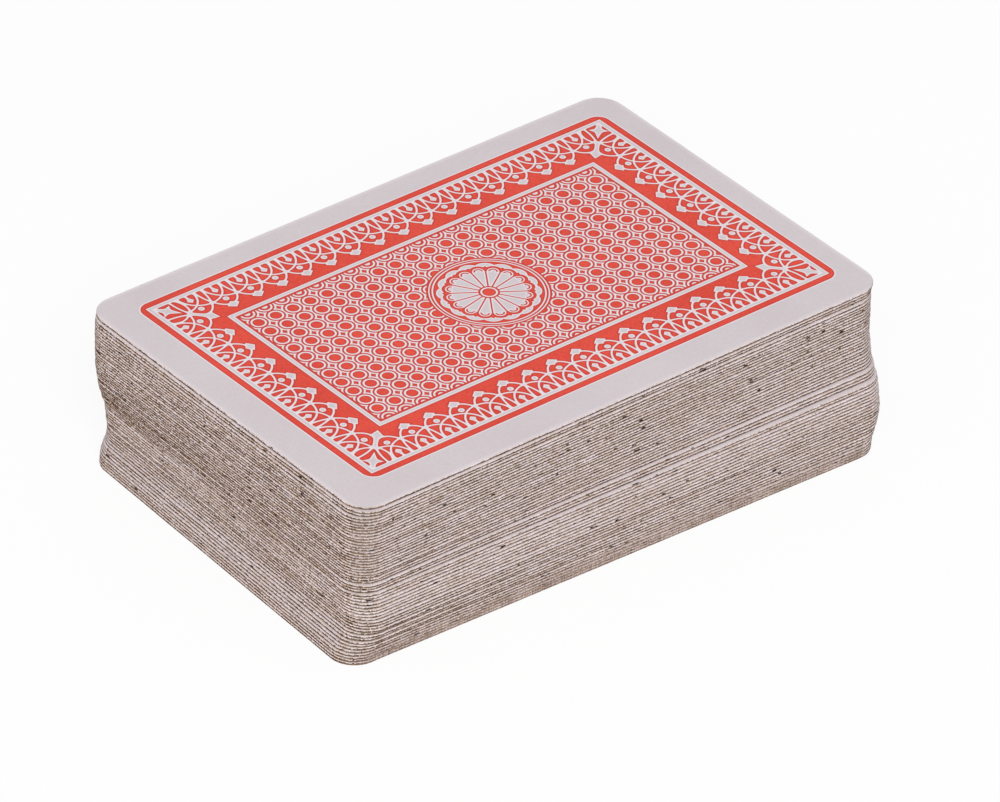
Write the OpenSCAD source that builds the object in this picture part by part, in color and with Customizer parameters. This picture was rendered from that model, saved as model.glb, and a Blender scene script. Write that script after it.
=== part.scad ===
// Miniature pack of playing cards, lying loose and back up.
// The origin is the middle of the bottom card's underside, +X runs along that card and +Z is up.

/* [Card] */
// Length of a card
card_length = 60; // [50:0.5:90]
// Width of a card
card_width = 40; // [30:0.5:65]
// Thickness of a card, with both paper faces and the board between them
card_thickness = 0.29; // [0.2:0.01:0.4]
// Radius of the die-cut corners
corner_radius = 2.6; // [1:0.1:6]

/* [Pack] */
// Film of air that the slight bow of the cards leaves between two of them
air_film = 0.01; // [0.005:0.005:0.05]
// Furthest that one card strays from the line of the pack
card_stray = 0.035; // [0:0.005:0.3]
// Furthest that one card turns from the line of the pack, in degrees
card_turn = 0.08; // [0:0.01:0.5]

/* [Lower slip] */
// How far the pack slips lengthwise just above its base
lower_slip_length = 0.8; // [-2:0.05:2]
// How far the pack turns just above its base, in degrees
lower_slip_turn = 0.7; // [-3:0.05:3]
// Share of the cards that lie below the middle of this slip
lower_slip_place = 0.12; // [0.02:0.01:0.3]
// Share of the cards that this slip is spread over
lower_slip_spread = 0.2; // [0.02:0.01:0.5]

/* [Side slip] */
// How far the pack slips sideways between its base and its middle
side_slip_width = 0.43; // [-2:0.05:2]
// Share of the cards that lie below the middle of this slip
side_slip_place = 0.34; // [0.1:0.01:0.6]
// Share of the cards that this slip is spread over
side_slip_spread = 0.2; // [0.02:0.01:0.5]

/* [Middle slip] */
// How far the pack slips lengthwise about half way up
middle_slip_length = -0.5; // [-2:0.05:2]
// How far the pack slips sideways about half way up
middle_slip_width = 0.28; // [-2:0.05:2]
// How far the pack turns about half way up, in degrees
middle_slip_turn = 1; // [-3:0.05:3]
// Share of the cards that lie below the middle of this slip
middle_slip_place = 0.53; // [0.3:0.01:0.7]
// Share of the cards that this slip is spread over
middle_slip_spread = 0.4; // [0.05:0.01:0.6]

/* [Cuts] */
// Step back of the pack at each of the two places where it was cut
cut_step = 0.25; // [0:0.01:1]
// Turn of the pack at each of those two places, in degrees
cut_turn = 0.25; // [-1:0.05:1]
// Number of cards below the lower cut
lower_cut_cards = 24; // [3:1:50]
// Number of cards below the upper cut
upper_cut_cards = 27; // [3:1:50]

/* [Top steps] */
// How far the cards above slip lengthwise at each of two places near the top
top_step_length = 0.14; // [-1:0.01:1]
// How far the cards above slip sideways at each of those two places
top_step_width = 0.12; // [-1:0.01:1]
// Turn at the lower of those two places, which the upper one undoes, in degrees
top_step_turn = 0.12; // [-1:0.01:1]
// Number of cards above the lower of those two places
lower_top_cards = 3; // [2:1:10]
// Number of cards above the upper of those two places
upper_top_cards = 1; // [1:1:9]

/* [Hidden] */
$fn = 48;
SUITS = ["spades", "diamonds", "clubs", "hearts"];
RANKS = [
    "ace", "two", "three", "four", "five", "six", "seven",
    "eight", "nine", "ten", "jack", "queen", "king"
];
JOKERS = ["red_joker", "black_joker"];
// Every card from the bottom of the pack to the top
NODES = concat([for (suit = SUITS) for (rank = RANKS) str(rank, "_of_", suit)], JOKERS);

card_count = len(NODES);
card_pitch = card_thickness + air_film;
one_card = 1 / card_count;

// Seeds that fix each card's own stray
LENGTH_SEED = 20;
WIDTH_SEED = 348;
TURN_SEED = 184;
length_strays = rands(-card_stray, card_stray, card_count, LENGTH_SEED);
width_strays = rands(-card_stray, card_stray, card_count, WIDTH_SEED);
turn_strays = rands(-card_turn, card_turn, card_count, TURN_SEED);

// Share of the pack's height midway between a number of cards and the next card
function cut_place(cards_below) = (cards_below - 0.5) * one_card;
function top_place(cards_above) = cut_place(card_count - cards_above);

// Each slip: place, spread, then how far it goes lengthwise, sideways and round
PLACE = 0;
SPREAD = 1;
LENGTHWISE = 2;
SIDEWAYS = 3;
ROUND = 4;
SLIPS = [
    [lower_slip_place, lower_slip_spread, lower_slip_length, 0, lower_slip_turn],
    [side_slip_place, side_slip_spread, 0, side_slip_width, 0],
    [middle_slip_place, middle_slip_spread, middle_slip_length, middle_slip_width, middle_slip_turn],
    [cut_place(lower_cut_cards), one_card, 0, cut_step, cut_turn],
    [cut_place(upper_cut_cards), one_card, 0, cut_step, cut_turn],
    [top_place(lower_top_cards), one_card, top_step_length, top_step_width, top_step_turn],
    [top_place(upper_top_cards), one_card, top_step_length, top_step_width, -top_step_turn]
];

PAPER = [0.82, 0.78, 0.81];
BOARD = [0.62, 0.56, 0.52];

// Smooth rise from 0 to 1
function ease(share) = share <= 0 ? 0 : share >= 1 ? 1 : share * share * (3 - 2 * share);

// Part of a slip that has happened at a share of the pack's height
function slipped(slip, height) = ease((height - slip[PLACE]) / slip[SPREAD] + 0.5);

// Sum of all slips in one direction below a card
function pack_slip(index, direction) =
    [for (slip = SLIPS) slip[direction]] * [for (slip = SLIPS) slipped(slip, index * one_card)];

// A card's own stray, with the bottom card as the one the rest is measured from
function stray(strays, index) = index == 0 ? 0 : strays[index];

function card_place(index) = [
    pack_slip(index, LENGTHWISE) + stray(length_strays, index),
    pack_slip(index, SIDEWAYS) + stray(width_strays, index),
    index * card_pitch
];

function card_angle(index) = pack_slip(index, ROUND) + stray(turn_strays, index);

// Outline of a card: two crossed bars and a round at each corner
module card_outline() {
    straight_length = card_length - 2 * corner_radius;
    straight_width = card_width - 2 * corner_radius;
    square([card_length, straight_width], center = true);
    square([straight_length, card_width], center = true);
    for (side = [-1, 1], end = [-1, 1])
        translate([end * straight_length / 2, side * straight_width / 2])
            circle(r = corner_radius);
}

// One card where it lies in the pack; every other one is drawn in the tone of its cut edge
module card(index) {
    color(index % 2 == 0 ? PAPER : BOARD)
        translate(card_place(index))
            rotate([0, 0, card_angle(index)])
                linear_extrude(card_thickness)
                    card_outline();
}

for (index = [0 : card_count - 1])
    card(index);
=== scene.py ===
"""Looks of a miniature pack of playing cards: printed backs and faces, raw cut edges, a plain studio."""

import functools
import logging
import math
import random
from dataclasses import dataclass, field
from enum import Enum
from typing import Union

import bpy
from mathutils import Matrix, Vector
from mathutils.geometry import delaunay_2d_cdt


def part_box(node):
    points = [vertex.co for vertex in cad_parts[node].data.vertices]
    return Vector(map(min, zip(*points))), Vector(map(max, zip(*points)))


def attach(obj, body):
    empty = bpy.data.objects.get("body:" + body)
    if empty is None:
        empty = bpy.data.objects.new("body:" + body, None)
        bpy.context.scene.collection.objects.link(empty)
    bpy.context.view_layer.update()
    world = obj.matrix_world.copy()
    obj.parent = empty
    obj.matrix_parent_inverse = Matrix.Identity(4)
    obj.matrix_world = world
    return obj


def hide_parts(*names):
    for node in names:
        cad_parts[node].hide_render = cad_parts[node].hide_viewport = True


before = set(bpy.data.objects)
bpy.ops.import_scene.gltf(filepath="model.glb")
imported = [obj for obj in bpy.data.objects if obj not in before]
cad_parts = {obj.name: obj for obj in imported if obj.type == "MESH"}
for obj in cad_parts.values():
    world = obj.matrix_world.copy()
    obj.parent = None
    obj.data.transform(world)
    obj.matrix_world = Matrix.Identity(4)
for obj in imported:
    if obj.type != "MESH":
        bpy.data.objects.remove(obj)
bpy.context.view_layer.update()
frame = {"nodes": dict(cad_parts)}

LOG = logging.getLogger("card_pack")
MM = 0.001
BAKE_MAP = "OFBake"
PAPER_GLOSS = 0.3
PAPER_RELIEF = 0.004 * MM

Colour = tuple[float, float, float, float]
Point = tuple[float, float]
Outline = list[Point]
# An outline, and whether it is inked or left bare
Mark = tuple[Outline, bool]

WHITE: Colour = (1.0, 1.0, 1.0, 1.0)


def paint(red: int, green: int, blue: int) -> Colour:
    """Turn a colour as seen on a screen into the linear colour that a shader takes.

    Args:
        red: Red, 0 to 255.
        green: Green, 0 to 255.
        blue: Blue, 0 to 255.

    Returns:
        The linear colour, with full alpha.
    """
    def linear(level: int) -> float:
        """Undo the screen's curve for one channel."""
        share = level / 255
        return share / 12.92 if share <= 0.04045 else ((share + 0.055) / 1.055) ** 2.4

    return linear(red), linear(green), linear(blue), 1.0


class Value:
    """A number that varies over a surface: a shader socket that takes part in Python expressions."""

    def __init__(self, sheet: "NodeSheet", socket: bpy.types.NodeSocket) -> None:
        """Keep the socket, and the sheet that its Math nodes go on."""
        self.sheet = sheet
        self.socket = socket

    def math(self, operation: str, *others: "Term") -> "Value":
        """Add a Math node with this value first."""
        return self.sheet.math(operation, self, *others)

    def __add__(self, other: "Term") -> "Value":
        """Add."""
        return self.math("ADD", other)

    def __radd__(self, other: float) -> "Value":
        """Add to a number."""
        return self.math("ADD", other)

    def __sub__(self, other: "Term") -> "Value":
        """Subtract."""
        return self.math("SUBTRACT", other)

    def __rsub__(self, other: float) -> "Value":
        """Subtract from a number."""
        return self.sheet.math("SUBTRACT", other, self)

    def __mul__(self, other: "Term") -> "Value":
        """Multiply."""
        return self.math("MULTIPLY", other)

    def __rmul__(self, other: float) -> "Value":
        """Multiply a number."""
        return self.math("MULTIPLY", other)

    def __truediv__(self, other: "Term") -> "Value":
        """Divide."""
        return self.math("DIVIDE", other)

    def __pow__(self, other: "Term") -> "Value":
        """Raise to a power."""
        return self.math("POWER", other)

    def __neg__(self) -> "Value":
        """Change the sign."""
        return self.math("MULTIPLY", -1.0)

    def __abs__(self) -> "Value":
        """Drop the sign."""
        return self.math("ABSOLUTE")


Term = Union[Value, float, int]
Setting = Union[str, float, bool, int]
Plug = Union[Value, bpy.types.NodeSocket, float, int, tuple]
Settings = dict[str, Setting]
Plugs = dict[Union[str, int], Plug]
Spot = tuple[Value, Value, Value]


def smallest(*values: Value) -> Value:
    """The lowest of several values."""
    return functools.reduce(lambda low, value: low.math("MINIMUM", value), values)


def largest(*values: Value) -> Value:
    """The highest of several values."""
    return functools.reduce(lambda high, value: high.math("MAXIMUM", value), values)


def blended(fillet: float, *values: Value) -> Value:
    """The lowest of several values, with a fillet where two of them meet."""
    return functools.reduce(lambda low, value: low.math("SMOOTH_MIN", value, fillet), values)


def length(across: Value, along: Value) -> Value:
    """Length of the vector that has these two parts."""
    return (across * across + along * along).math("SQRT")


def to_nearest(place: Value, step: float) -> Value:
    """Signed distance from a place to the nearest whole multiple of a step."""
    return ((place / step + 0.5).math("FRACT") - 0.5) * step


def rhomb(across: Value, along: Value, half: Point) -> Value:
    """Distance from a rhomb with these half widths, below 0 inside it, at a place without its signs."""
    wide, tall = half
    return (across / wide + along / tall - 1.0) * (wide * tall / math.hypot(wide, tall))


def band(place: Value, start: float, end: float) -> Value:
    """Distance from the band between two places, below 0 inside it."""
    return abs(place - (start + end) / 2) - (end - start) / 2


@dataclass(frozen=True)
class Grain:
    """One kind of noise: grains per millimetre in the card's plane and up through it, seed and octaves."""

    flat: float
    up: float
    offset: float
    octaves: float


PAPER_GRAIN = Grain(5.0, 5.0, 0.0, 3.0)
PAPER_CLOUD = Grain(0.12, 0.12, 0.0, 2.0)


class NodeSheet:
    """The node tree of one material or of the world."""

    def __init__(self, owner: Union[bpy.types.Material, bpy.types.World]) -> None:
        """Take over the owner's nodes, and clear them.

        Args:
            owner: Material or world that the nodes belong to.
        """
        owner.use_nodes = True
        self.tree = owner.node_tree
        self.tree.nodes.clear()

    def node(self, kind: str, settings: Settings | None = None, plugs: Plugs | None = None) -> bpy.types.Node:
        """Add any node.

        Args:
            kind: The node's type name.
            settings: Its properties, set first.
            plugs: A value or a link for each of its input sockets, by name or number.

        Returns:
            The new node.
        """
        made = self.tree.nodes.new(kind)
        for name, setting in (settings or {}).items():
            setattr(made, name, setting)
        for name, plug in (plugs or {}).items():
            source = plug.socket if isinstance(plug, Value) else plug
            if isinstance(source, bpy.types.NodeSocket):
                self.tree.links.new(source, made.inputs[name])
            else:
                made.inputs[name].default_value = source
        return made

    def value(
        self, kind: str, output: str | int, settings: Settings | None = None, plugs: Plugs | None = None
    ) -> Value:
        """Add any node and take one of its outputs as a value."""
        return Value(self, self.node(kind, settings, plugs).outputs[output])

    def math(self, operation: str, *terms: Term) -> Value:
        """Add a Math node."""
        return self.value("ShaderNodeMath", 0, {"operation": operation}, dict(enumerate(terms)))

    def rise(self, value: Value, low: float, high: float) -> Value:
        """Smooth step of a value.

        Args:
            value: The value.
            low: Where the step is still 0.
            high: Where the step has become 1.

        Returns:
            The step.
        """
        settings = {"interpolation_type": "SMOOTHSTEP"}
        plugs = {"Value": value, "From Min": low, "From Max": high}
        return self.value("ShaderNodeMapRange", "Result", settings, plugs)

    def mix(self, share: Term, base: Plug, cover: Plug) -> bpy.types.NodeSocket:
        """Mix two colours.

        Args:
            share: Share of the cover colour.
            base: Colour at share 0.
            cover: Colour at share 1.

        Returns:
            The mixed colour's socket.
        """
        plugs = {0: share, 6: base, 7: cover}
        return self.node("ShaderNodeMix", {"data_type": "RGBA"}, plugs).outputs[2]

    def place(self) -> Spot:
        """Place on the card.

        Returns:
            Millimetres along the card, across it and up from its face.
        """
        spot = self.node("ShaderNodeTexCoord").outputs["Object"]
        plugs = {0: spot, 1: (1 / MM,) * 3}
        scaled = self.node("ShaderNodeVectorMath", {"operation": "MULTIPLY"}, plugs).outputs[0]
        parts = self.node("ShaderNodeSeparateXYZ", None, {0: scaled}).outputs
        return Value(self, parts[0]), Value(self, parts[1]), Value(self, parts[2])

    def noise(self, spot: Spot, grain: Grain, seed: Value) -> Value:
        """Noise over the card.

        Args:
            spot: Place on the card.
            grain: Kind of noise.
            seed: The card's own number, which sets its noise apart from the next card's.

        Returns:
            The noise, 0 to 1 and mostly near 0.5.
        """
        parts = {0: spot[0] * grain.flat, 1: spot[1] * grain.flat, 2: spot[2] * grain.up}
        vector = self.node("ShaderNodeCombineXYZ", None, parts).outputs[0]
        plugs = {"Vector": vector, "W": seed + grain.offset, "Scale": 1.0, "Detail": grain.octaves}
        return self.value("ShaderNodeTexNoise", 0, {"noise_dimensions": "4D"}, plugs)

    def own_seed(self) -> Value:
        """A number of the card's own, from 0 to 100."""
        return self.value("ShaderNodeObjectInfo", "Random") * 100.0

    def bump(self, height: Value, depth: float) -> bpy.types.NodeSocket:
        """Normal of a surface with a fine relief of the given depth in metres."""
        plugs = {"Height": height, "Distance": depth, "Strength": 1.0}
        return self.node("ShaderNodeBump", None, plugs).outputs[0]

    def surface(self, plugs: dict[str, Plug]) -> None:
        """End the sheet in one Principled shader."""
        shader = self.node("ShaderNodeBsdfPrincipled", None, plugs)
        self.node("ShaderNodeOutputMaterial", None, {"Surface": shader.outputs[0]})


@dataclass(frozen=True)
class Lattice:
    """Trellis of ringed dots in the middle of the back. Lengths are in millimetres, as in all the print."""

    step_along: float = 1.944
    step_across: float = 1.690
    shift: Point = (-0.07, -0.06)
    inner_ring: Point = (0.545, 0.745)
    outer_ring: Point = (0.90, 1.09)
    rows_to_edge: float = 5.5
    edge_dot_hole: float = 0.30

    def white(self, along: Value, across: Value) -> Value:
        """How far a place is from the bare paper of the trellis.

        Args:
            along: Place along the print.
            across: Place across the print.

        Returns:
            The distance, below 0 on bare paper.
        """
        row = across - self.shift[1]
        off = length(to_nearest(along - self.shift[0], self.step_along), to_nearest(row, self.step_across))
        rings = smallest(band(off, *self.inner_ring), band(off, *self.outer_ring))
        hole = largest(off - self.edge_dot_hole, self.rows_to_edge * self.step_across - abs(row))
        return smallest(rings, hole)


@dataclass(frozen=True)
class Rosette:
    """Round flower of sixteen petals in a scalloped double ring."""

    centre: Point = (-0.08, -0.12)
    petals: int = 16
    hub_ring: Point = (0.61, 0.80)
    petal_start: float = 0.97
    spoke: float = 0.125
    tip_place: float = 3.40
    tip_round: float = 0.57
    smile: Point = (0.29, 0.43)
    tip_band: float = 0.86
    scallop_place: float = 3.616
    scallop_round: float = 1.154
    tooth: float = 4.22
    first_ring: Point = (4.99, 5.15)
    second_ring: Point = (5.31, 5.45)
    rim: float = 5.62

    def white(self, along: Value, across: Value) -> tuple[Value, Value]:
        """How far a place is from the flower's bare paper, and from the flower's rim.

        Args:
            along: Place along the print.
            across: Place across the print.

        Returns:
            The two distances, below 0 on bare paper and inside the rim.
        """
        right = along - self.centre[0]
        up = across - self.centre[1]
        out = length(right, up)
        sector = 2 * math.pi / self.petals
        turn = abs(to_nearest(up.math("ARCTAN2", right), sector))
        to_spoke = sector / 2 - turn
        ahead = out * turn.math("COSINE")
        beside = out * turn.math("SINE")
        from_spoke = out * to_spoke.math("SINE")
        along_spoke = out * to_spoke.math("COSINE")
        from_tip = length(ahead - self.tip_place, beside)
        blade = largest(self.spoke / 2 - from_spoke, ahead - self.tip_place)
        petal = largest(smallest(blade, from_tip - self.tip_round), self.petal_start - out)
        smile = largest(band(from_tip, *self.smile), self.tip_place - ahead)
        scallop = largest(
            length(along_spoke - self.scallop_place, from_spoke) - self.scallop_round,
            self.tip_band - from_tip,
            (self.tooth - along_spoke - from_spoke) * math.sqrt(0.5),
        )
        rings = [band(out, *ring) for ring in (self.hub_ring, self.first_ring, self.second_ring)]
        return smallest(largest(petal, -smile), scallop, *rings), out - self.rim


@dataclass(frozen=True)
class LaceEdge:
    """Row of lace along one side: round strands, tall arches, dots, spades and pendants."""

    step: float = 2.776
    strand: float = 0.20
    fillet: float = 0.28
    round_strand: float = 2.27
    round_lift: float = 0.05
    arch_half_width: float = 1.75
    arch_depth: float = 3.35
    dot_depth: float = 2.40
    dot: float = 0.31
    pendant_depth: float = 3.49
    pendant_size: Point = (0.66, 0.53)
    spade_depth: float = 0.82
    spade_tip: float = 0.36
    spade_half_width: float = 0.38
    stem_half_width: float = 0.12
    stem_flare: float = 3.0

    def arch(self, beside: Value, depth: Value) -> Value:
        """How far a place is from the middle line of one tall arch.

        Args:
            beside: Distance from the arch's axis.
            depth: Depth in from the line that the lace hangs on.

        Returns:
            The distance, below 0 inside the arch.
        """
        wide = self.arch_half_width
        deep = self.arch_depth
        reach = length(beside / wide, depth / deep)
        slope = length(beside / wide ** 2, depth / deep ** 2)
        return (reach - 1.0) * reach / slope

    def white(self, along: Value, depth: Value, last: int) -> tuple[Value, Value]:
        """How far a place is from the lace's bare paper.

        Args:
            along: Place along the side from its middle, 0 or more.
            depth: Depth in from the line that the lace hangs on.
            last: Number of the last unit before the corner, which has no pendant.

        Returns:
            The distance, below 0 on bare paper, and the distance from the last unit's arch.
        """
        unit = (along / self.step).math("ROUND").math("MINIMUM", last)
        signed = along - unit * self.step
        beside = abs(signed)
        half = self.step / 2
        last_place = last * self.step
        thick = self.strand / 2
        deep = depth + self.round_lift
        rounds = smallest(
            abs(length(beside - half, deep) - self.round_strand),
            abs(length(beside + half, deep) - self.round_strand),
        ) - thick
        near_arch = abs(self.arch(beside, depth)) - thick
        next_arch = abs(self.arch(beside - self.step, depth)) - thick
        dot = length(beside, depth - self.dot_depth) - self.dot
        pendant = rhomb(beside, abs(depth - self.pendant_depth), self.pendant_size)
        widening = self.spade_half_width - self.stem_half_width
        flare = (depth / self.spade_depth) ** self.stem_flare * widening
        stem = largest(beside - flare - self.stem_half_width, depth - self.spade_depth)
        below = depth - self.spade_depth
        tip_slope = self.spade_half_width / self.spade_tip
        tip = largest((beside + below * tip_slope - self.spade_half_width) * math.sqrt(0.5), -below)
        lace = blended(
            self.fillet,
            near_arch,
            dot,
            smallest(stem, tip),
            largest(rounds, along - (last_place + half)),
            largest(next_arch, along - last_place),
            largest(pendant, along - (last_place - half)),
        )
        return lace, self.arch(along - last_place, depth)


@dataclass(frozen=True)
class LaceCorner:
    """Join of two rows of lace: star, two lens strands and kite. Places run in from the frame's corner."""

    star_centre: Point = (1.96, 2.12)
    star_axis: float = math.radians(48)
    long_arm: Point = (1.42, 0.42)
    short_arm: Point = (0.42, 0.94)
    stalk: float = 0.42
    long_lens: tuple[float, float, float] = (1.66, 2.44, 2.15)
    short_lens: tuple[float, float, float] = (2.01, 2.82, 1.43)
    lens_start: Point = (3.2, 3.85)
    junction: Point = (3.3, 3.6)
    neck: float = 0.42
    neck_reach: float = 1.4
    kite_tip: Point = (5.25, 5.62)
    kite_long_side: Point = (5.08, 4.66)
    kite_short_side: Point = (4.35, 5.44)

    def half_plane(self, right: Value, down: Value, start: Point, end: Point) -> Value:
        """Distance to the left of the line from start to end, as a person walking along it has it."""
        run = Vector((end[0] - start[0], end[1] - start[1])).normalized()
        return (right - start[0]) * run.y - (down - start[1]) * run.x

    def white(self, right: Value, down: Value, arches: tuple[Value, Value], lace: LaceEdge) -> Value:
        """How far a place is from the corner's bare paper.

        Args:
            right: Distance in from the short side.
            down: Distance in from the long side.
            arches: Distance from the last tall arch of the long and of the short side.
            lace: The lace that the corner joins.

        Returns:
            The distance, below 0 on bare paper.
        """
        across = right - self.star_centre[0]
        along = down - self.star_centre[1]
        cosine, sine = math.cos(self.star_axis), math.sin(self.star_axis)
        inward = across * cosine + along * sine
        aside = abs(along * cosine - across * sine)
        arms = [rhomb(abs(inward), aside, half) for half in (self.long_arm, self.short_arm)]
        stalk = largest(aside - self.stalk / 2, inward)
        lens = []
        for middle_x, middle_y, radius in (self.long_lens, self.short_lens):
            lens.append(abs(length(right - middle_x, down - middle_y) - radius) - lace.strand / 2)
        long_lens = largest(lens[0], self.lens_start[0] - right, down - self.junction[1])
        short_lens = largest(lens[1], self.lens_start[1] - down, right - self.junction[0])
        kite = largest(
            -arches[0],
            -arches[1],
            self.half_plane(right, down, self.kite_long_side, self.kite_tip),
            -self.half_plane(right, down, self.kite_short_side, self.kite_tip),
            self.junction[0] - right,
            self.junction[1] - down,
        )
        neck = largest(
            abs(self.half_plane(right, down, self.junction, self.kite_tip)) - self.neck / 2,
            self.junction[0] - right,
            right - self.junction[0] - self.neck_reach,
        )
        star = blended(lace.fillet, *arms, stalk)
        return blended(lace.fillet, smallest(star, long_lens, short_lens), kite, neck)


@dataclass(frozen=True)
class BackPrint:
    """Finish of the back: one red ink on lilac-white paper, in a traditional lattice and lace pattern."""

    card_half: Point
    centre: Point = (0.622, 0.396)
    turn: float = math.radians(-0.05)
    lean: float = math.radians(0.63)
    frame_half: Point = (26.88, 16.82)
    frame_round: float = 1.25
    line_outer: Point = (26.23, 16.12)
    line_inner: Point = (25.68, 15.60)
    short_lace_base: float = 25.89
    short_lace_depth: float = 0.987
    short_lace_step: float = 2.92
    mitre: float = 1.1
    panel_outer: Point = (21.14, 10.86)
    panel_inner: Point = (20.63, 10.35)
    lattice_half: Point = (20.41, 10.10)
    last_units: tuple[int, int] = (8, 4)
    ink_edge: float = 0.03
    ink_spread: float = 0.012
    lattice: Lattice = Lattice()
    rosette: Rosette = Rosette()
    lace: LaceEdge = LaceEdge()
    corner: LaceCorner = LaceCorner()
    paper: Colour = paint(212, 203, 207)
    paper_shade: Colour = paint(205, 195, 199)
    speck: Colour = paint(140, 128, 128)
    # Lighter paper beside the ink's edges, and the same colour as a painted highlight along the card's outer
    # margin
    paper_rim_and_highlight: Colour = paint(233, 225, 229)
    ink: Colour = paint(229, 77, 59)
    ink_shade: Colour = paint(207, 59, 43)
    ink_rim: Colour = paint(190, 48, 35)
    rim_width: float = 0.21
    # Width and strength of the painted highlight that lightens the paper along the card's outer margin
    highlight_border: float = 0.6
    highlight_share: float = 0.5
    grain_share: float = 0.6
    tone_range: Point = (0.32, 0.68)
    dust: Grain = Grain(1.1, 1.1, 31.0, 4.0)
    dust_range: Point = (0.735, 0.76)
    dust_share: float = 0.6
    paper_roughness: float = 0.62
    ink_smoothing: float = 0.12
    grain_roughness: float = 0.08
    ink_height: float = 0.2

    def box(self, along: Value, across: Value, half: Point) -> Value:
        """Distance from a rectangle about the print's centre, below 0 inside it."""
        return largest(along - half[0], across - half[1])

    def border_line(self, along: Value, across: Value, outer: Point, inner: Point) -> Value:
        """Distance from a line between two rectangles about the print's centre, below 0 on it."""
        return largest(self.box(along, across, outer), -self.box(along, across, inner))

    def bare(self, spot: Spot) -> Value:
        """How far a place is from bare paper.

        Args:
            spot: Place on the card.

        Returns:
            The distance, below 0 on bare paper.
        """
        right = spot[0] - self.centre[0]
        up = spot[1] - self.centre[1]
        along = right + up * math.tan(self.lean)
        across = up - right * math.tan(self.turn)
        far_along = abs(along)
        far_across = abs(across)
        straight = [half - self.frame_round for half in self.frame_half]
        over = [(far - edge).math("MAXIMUM", 0.0) for far, edge in zip((far_along, far_across), straight)]
        margin = self.frame_round - length(*over)
        from_short = self.frame_half[0] - far_along
        from_long = self.frame_half[1] - far_across
        flower, flower_rim = self.rosette.white(along, across)
        trellis = largest(
            self.lattice.white(along, across), self.box(far_along, far_across, self.lattice_half), -flower_rim
        )
        panel = self.border_line(far_along, far_across, self.panel_outer, self.panel_inner)
        line = self.border_line(far_along, far_across, self.line_outer, self.line_inner)
        long_lace, long_arch = self.lace.white(far_along, self.line_inner[1] - far_across, self.last_units[0])
        stretch = self.lace.step / self.short_lace_step
        short_depth = (self.short_lace_base - far_along) / self.short_lace_depth
        short_lace, short_arch = self.lace.white(far_across * stretch, short_depth, self.last_units[1])
        mitre = (from_long - from_short * self.mitre) / math.hypot(1, self.mitre)
        corner = self.corner.white(from_short, from_long, (long_arch, short_arch), self.lace)
        within = self.box(far_along, far_across, self.line_inner)
        fillet = self.lace.fillet
        rows = blended(fillet, largest(long_lace, mitre), largest(short_lace, -mitre), corner)
        lace = blended(fillet, largest(rows, within), line)
        return smallest(margin, lace, panel, trellis, flower)

    def material(self) -> bpy.types.Material:
        """Make the material.

        Returns:
            The material.
        """
        made = bpy.data.materials.new("card_back_print")
        sheet = NodeSheet(made)
        spot = sheet.place()
        seed = sheet.own_seed()
        bare = self.bare(spot) + self.ink_spread
        inked = sheet.rise(bare, -self.ink_edge, self.ink_edge)
        squeezed = 1.0 - sheet.rise(abs(bare), 0.0, self.rim_width)
        grain = sheet.noise(spot, PAPER_GRAIN, seed)
        cloud = sheet.noise(spot, PAPER_CLOUD, seed)
        dust = sheet.rise(sheet.noise(spot, self.dust, seed), *self.dust_range)
        tone = sheet.rise(grain * self.grain_share + cloud * (1 - self.grain_share), *self.tone_range)
        paper = sheet.mix(tone, self.paper_shade, self.paper)
        marked = sheet.mix(dust * self.dust_share, paper, self.speck)
        ink = sheet.mix(tone, self.ink_shade, self.ink)
        # Painted highlight: the paper is made lighter within this width of the card's outer edge
        highlight_border = sheet.rise(self.box(abs(spot[0]), abs(spot[1]), self.card_half), -self.highlight_border, 0.0)
        pressed_and_highlighted = sheet.mix(largest(squeezed, highlight_border * self.highlight_share), marked, self.paper_rim_and_highlight)
        sheet.surface({
            "Base Color": sheet.mix(inked, pressed_and_highlighted, sheet.mix(squeezed, ink, self.ink_rim)),
            "Roughness": self.paper_roughness - inked * self.ink_smoothing + grain * self.grain_roughness,
            "Specular IOR Level": PAPER_GLOSS,
            "Normal": sheet.bump(grain + inked * self.ink_height, PAPER_RELIEF),
        })
        return made


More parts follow.
